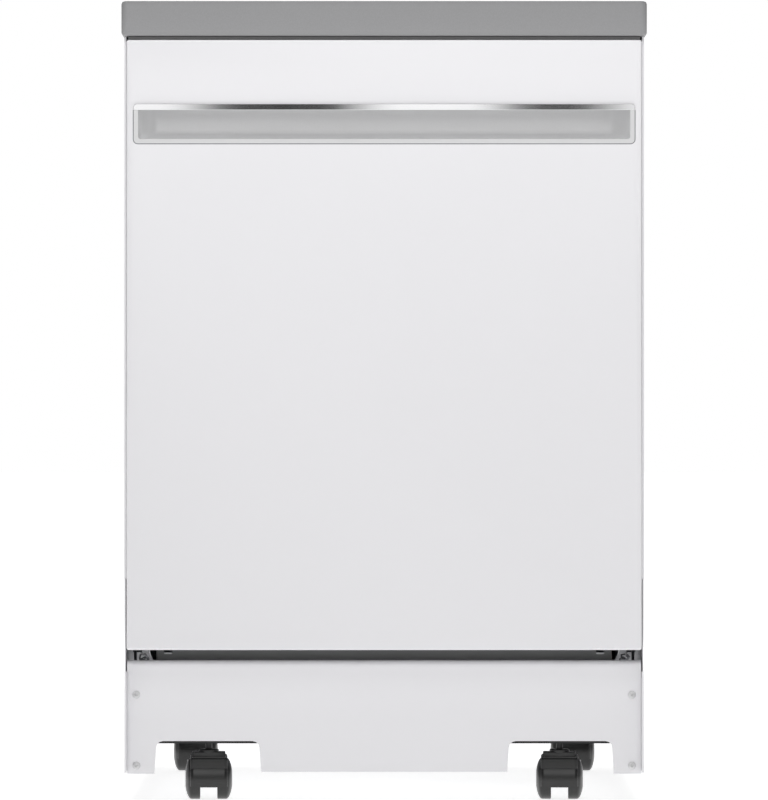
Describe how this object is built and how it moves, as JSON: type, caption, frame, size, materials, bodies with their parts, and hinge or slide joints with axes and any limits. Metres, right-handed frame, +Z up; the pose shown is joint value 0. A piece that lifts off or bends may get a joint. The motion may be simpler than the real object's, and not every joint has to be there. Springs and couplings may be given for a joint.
{
  "type": "portable dishwasher",
  "caption": "Freestanding 24-inch dishwasher on swivel casters, with a grey laminate worktop, a white door with a full-width pocket handle, two wire racks and a stainless tub.",
  "frame": {"origin": "on the floor under the middle of the worktop", "axes": "+Z up, +X to the right of someone facing the door, the door faces -Y"},
  "size_m": [0.622, 0.71, 0.95],
  "materials": {
    "laminate": "matt grey laminate over particle board",
    "white_paint": "smooth white enamel",
    "black_plastic": "fine matt",
    "caster_plastic": "satin nylon",
    "silver_plastic": "silver satin",
    "chrome": "bright",
    "tub_steel": "brushed stainless",
    "zinc_steel": "zinc plated",
    "black_steel": "black coated steel",
    "coated_wire": "nylon coated wire",
    "grey_plastic": "satin polypropylene",
    "rubber": "matt",
    "board": "solder mask"
  },
  "bodies": {
    "cabinet": {"countertop": "laminate", "side_panel_left": "white_paint", "side_panel_right": "white_paint", "back_panel": "white_paint", "kick_panel": "white_paint", "base_frame": "black_steel", "top_rail": "black_plastic", "tub": "tub_steel", "tub_gasket": "rubber", "sump": "grey_plastic", "filter_screen": "tub_steel", "feed_tube": "grey_plastic", "top_spray_head": "grey_plastic", "heating_element": "zinc_steel", "wash_pump": "black_plastic", "drain_pump": "black_plastic", "inlet_valve": "grey_plastic", "door_strike": "zinc_steel", "door_spring_left": "zinc_steel", "door_spring_right": "zinc_steel", "rack_track_left": "tub_steel", "rack_track_right": "tub_steel", "hose_bin": "black_plastic"},
    "door": {"door_outer_panel": "white_paint", "door_inner_panel": "tub_steel", "handle_pocket": "silver_plastic", "handle_grip": "chrome", "control_panel": "black_plastic", "control_board": "board", "latch_housing": "grey_plastic", "hinge_arm_left": "zinc_steel", "hinge_arm_right": "zinc_steel", "dispenser_housing": "grey_plastic"},
    "upper_rack": {"upper_rack": "coated_wire", "upper_manifold": "grey_plastic"},
    "lower_rack": {"lower_rack": "coated_wire", "cutlery_basket": "grey_plastic"},
    "latch_lever": {"latch_lever": "zinc_steel"},
    "button_1": {"button_1": "silver_plastic"},
    "button_2": {"button_2": "silver_plastic"},
    "button_3": {"button_3": "silver_plastic"},
    "button_4": {"button_4": "silver_plastic"},
    "dispenser_flap": {"dispenser_flap": "grey_plastic"},
    "rinse_aid_cap": {"rinse_aid_cap": "black_plastic"},
    "float_dome": {"float_dome": "grey_plastic"},
    "filter_cup": {"filter_cup": "grey_plastic"},
    "lower_spray_arm": {"lower_spray_arm": "grey_plastic"},
    "upper_spray_arm": {"upper_spray_arm": "grey_plastic"},
    "rack_wheel_front_left": {"rack_wheel_front_left": "grey_plastic"},
    "rack_wheel_rear_left": {"rack_wheel_rear_left": "grey_plastic"},
    "rack_wheel_front_right": {"rack_wheel_front_right": "grey_plastic"},
    "rack_wheel_rear_right": {"rack_wheel_rear_right": "grey_plastic"},
    "caster_hood_front_left": {"caster_hood_front_left": "caster_plastic"},
    "caster_wheels_front_left": {"caster_wheels_front_left": "caster_plastic"},
    "caster_hood_front_right": {"caster_hood_front_right": "caster_plastic"},
    "caster_wheels_front_right": {"caster_wheels_front_right": "caster_plastic"},
    "caster_hood_rear_left": {"caster_hood_rear_left": "caster_plastic"},
    "caster_wheels_rear_left": {"caster_wheels_rear_left": "caster_plastic"},
    "caster_hood_rear_right": {"caster_hood_rear_right": "caster_plastic"},
    "caster_wheels_rear_right": {"caster_wheels_rear_right": "caster_plastic"}
  },
  "joints": [
    {"name": "door_hinge", "type": "hinge", "parent": "cabinet", "child": "door", "pos_m": [0, -0.308, 0.1586], "axis": [1, 0, 0], "range_deg": [0, 90], "stiffness_Nm_per_rad": 21, "deforming": ["door_spring_left", "door_spring_right"]},
    {"name": "latch_lever_pivot", "type": "hinge", "parent": "door", "child": "latch_lever", "pos_m": [0, -0.319, 0.8976], "axis": [1, 0, 0], "range_deg": [0, 8], "stiffness_Nm_per_rad": 0.05},
    {"name": "button_1_press", "type": "slide", "parent": "door", "child": "button_1", "axis": [0, 0, -1], "range_m": [0, 0.0015], "stiffness_N_per_m": 400},
    {"name": "button_2_press", "type": "slide", "parent": "door", "child": "button_2", "axis": [0, 0, -1], "range_m": [0, 0.0015], "stiffness_N_per_m": 400},
    {"name": "button_3_press", "type": "slide", "parent": "door", "child": "button_3", "axis": [0, 0, -1], "range_m": [0, 0.0015], "stiffness_N_per_m": 400},
    {"name": "button_4_press", "type": "slide", "parent": "door", "child": "button_4", "axis": [0, 0, -1], "range_m": [0, 0.0015], "stiffness_N_per_m": 400},
    {"name": "dispenser_flap_hinge", "type": "hinge", "parent": "door", "child": "dispenser_flap", "pos_m": [-0.033, -0.2781, 0.352], "axis": [-1, 0, 0], "range_deg": [0, 100]},
    {"name": "rinse_aid_cap_turn", "type": "hinge", "parent": "door", "child": "rinse_aid_cap", "pos_m": [0.042, -0.279, 0.386], "axis": [0, 1, 0], "range_deg": [0, 90]},
    {"name": "float_lift", "type": "slide", "parent": "cabinet", "child": "float_dome", "axis": [0, 0, 1], "range_m": [0, 0.012]},
    {"name": "filter_twist", "type": "hinge", "parent": "cabinet", "child": "filter_cup", "pos_m": [0, 0.0762, 0.15], "axis": [0, 0, 1], "range_deg": [0, 90]},
    {"name": "lower_spray_arm_spin", "type": "hinge", "parent": "cabinet", "child": "lower_spray_arm", "pos_m": [0, -0.0118, 0.195], "axis": [0, 0, 1], "continuous": true},
    {"name": "lower_rack_slide", "type": "slide", "parent": "cabinet", "child": "lower_rack", "axis": [0, -1, 0], "range_m": [0, 0.15]},
    {"name": "upper_rack_slide", "type": "slide", "parent": "cabinet", "child": "upper_rack", "axis": [0, -1, 0], "range_m": [0, 0.41]},
    {"name": "upper_spray_arm_spin", "type": "hinge", "parent": "upper_rack", "child": "upper_spray_arm", "pos_m": [0, -0.0118, 0.455], "axis": [0, 0, 1], "continuous": true},
    {"name": "rack_wheel_front_left_roll", "type": "hinge", "parent": "lower_rack", "child": "rack_wheel_front_left", "pos_m": [-0.258, -0.1786, 0.1943], "axis": [1, 0, 0], "range_deg": [0, 480]},
    {"name": "rack_wheel_front_right_roll", "type": "hinge", "parent": "lower_rack", "child": "rack_wheel_front_right", "pos_m": [0.258, -0.1786, 0.1943], "axis": [1, 0, 0], "range_deg": [0, 480]},
    {"name": "rack_wheel_rear_left_roll", "type": "hinge", "parent": "lower_rack", "child": "rack_wheel_rear_left", "pos_m": [-0.258, 0.1526, 0.1943], "axis": [1, 0, 0], "range_deg": [0, 480]},
    {"name": "rack_wheel_rear_right_roll", "type": "hinge", "parent": "lower_rack", "child": "rack_wheel_rear_right", "pos_m": [0.258, 0.1526, 0.1943], "axis": [1, 0, 0], "range_deg": [0, 480]},
    {"name": "caster_front_left_swivel", "type": "hinge", "parent": "cabinet", "child": "caster_hood_front_left", "pos_m": [-0.2095, -0.285, 0.058], "axis": [0, 0, 1], "continuous": true},
    {"name": "caster_front_left_roll", "type": "hinge", "parent": "caster_hood_front_left", "child": "caster_wheels_front_left", "pos_m": [-0.2102, -0.26501, 0.025], "axis": [0.9994, 0.0349, 0], "continuous": true},
    {"name": "caster_front_right_swivel", "type": "hinge", "parent": "cabinet", "child": "caster_hood_front_right", "pos_m": [0.2095, -0.285, 0.058], "axis": [0, 0, 1], "continuous": true},
    {"name": "caster_front_right_roll", "type": "hinge", "parent": "caster_hood_front_right", "child": "caster_wheels_front_right", "pos_m": [0.2102, -0.26501, 0.025], "axis": [0.9994, -0.0349, 0], "continuous": true},
    {"name": "caster_rear_left_swivel", "type": "hinge", "parent": "cabinet", "child": "caster_hood_rear_left", "pos_m": [-0.243, 0.235, 0.058], "axis": [0, 0, 1], "continuous": true},
    {"name": "caster_rear_left_roll", "type": "hinge", "parent": "caster_hood_rear_left", "child": "caster_wheels_rear_left", "pos_m": [-0.243, 0.255, 0.025], "axis": [1, 0, 0], "continuous": true},
    {"name": "caster_rear_right_swivel", "type": "hinge", "parent": "cabinet", "child": "caster_hood_rear_right", "pos_m": [0.243, 0.235, 0.058], "axis": [0, 0, 1], "continuous": true},
    {"name": "caster_rear_right_roll", "type": "hinge", "parent": "caster_hood_rear_right", "child": "caster_wheels_rear_right", "pos_m": [0.243, 0.255, 0.025], "axis": [1, 0, 0], "continuous": true}
  ],
  "couplings": [
    {"joint": "lower_rack_slide", "follows": "door_hinge", "m_per_rad": 0.095},
    {"joint": "upper_rack_slide", "follows": "door_hinge", "m_per_rad": 0.26},
    {"joint": "rack_wheel_front_left_roll", "follows": "door_hinge", "ratio": 5.2778},
    {"joint": "rack_wheel_front_right_roll", "follows": "door_hinge", "ratio": 5.2778},
    {"joint": "rack_wheel_rear_left_roll", "follows": "door_hinge", "ratio": 5.2778},
    {"joint": "rack_wheel_rear_right_roll", "follows": "door_hinge", "ratio": 5.2778}
  ]
}
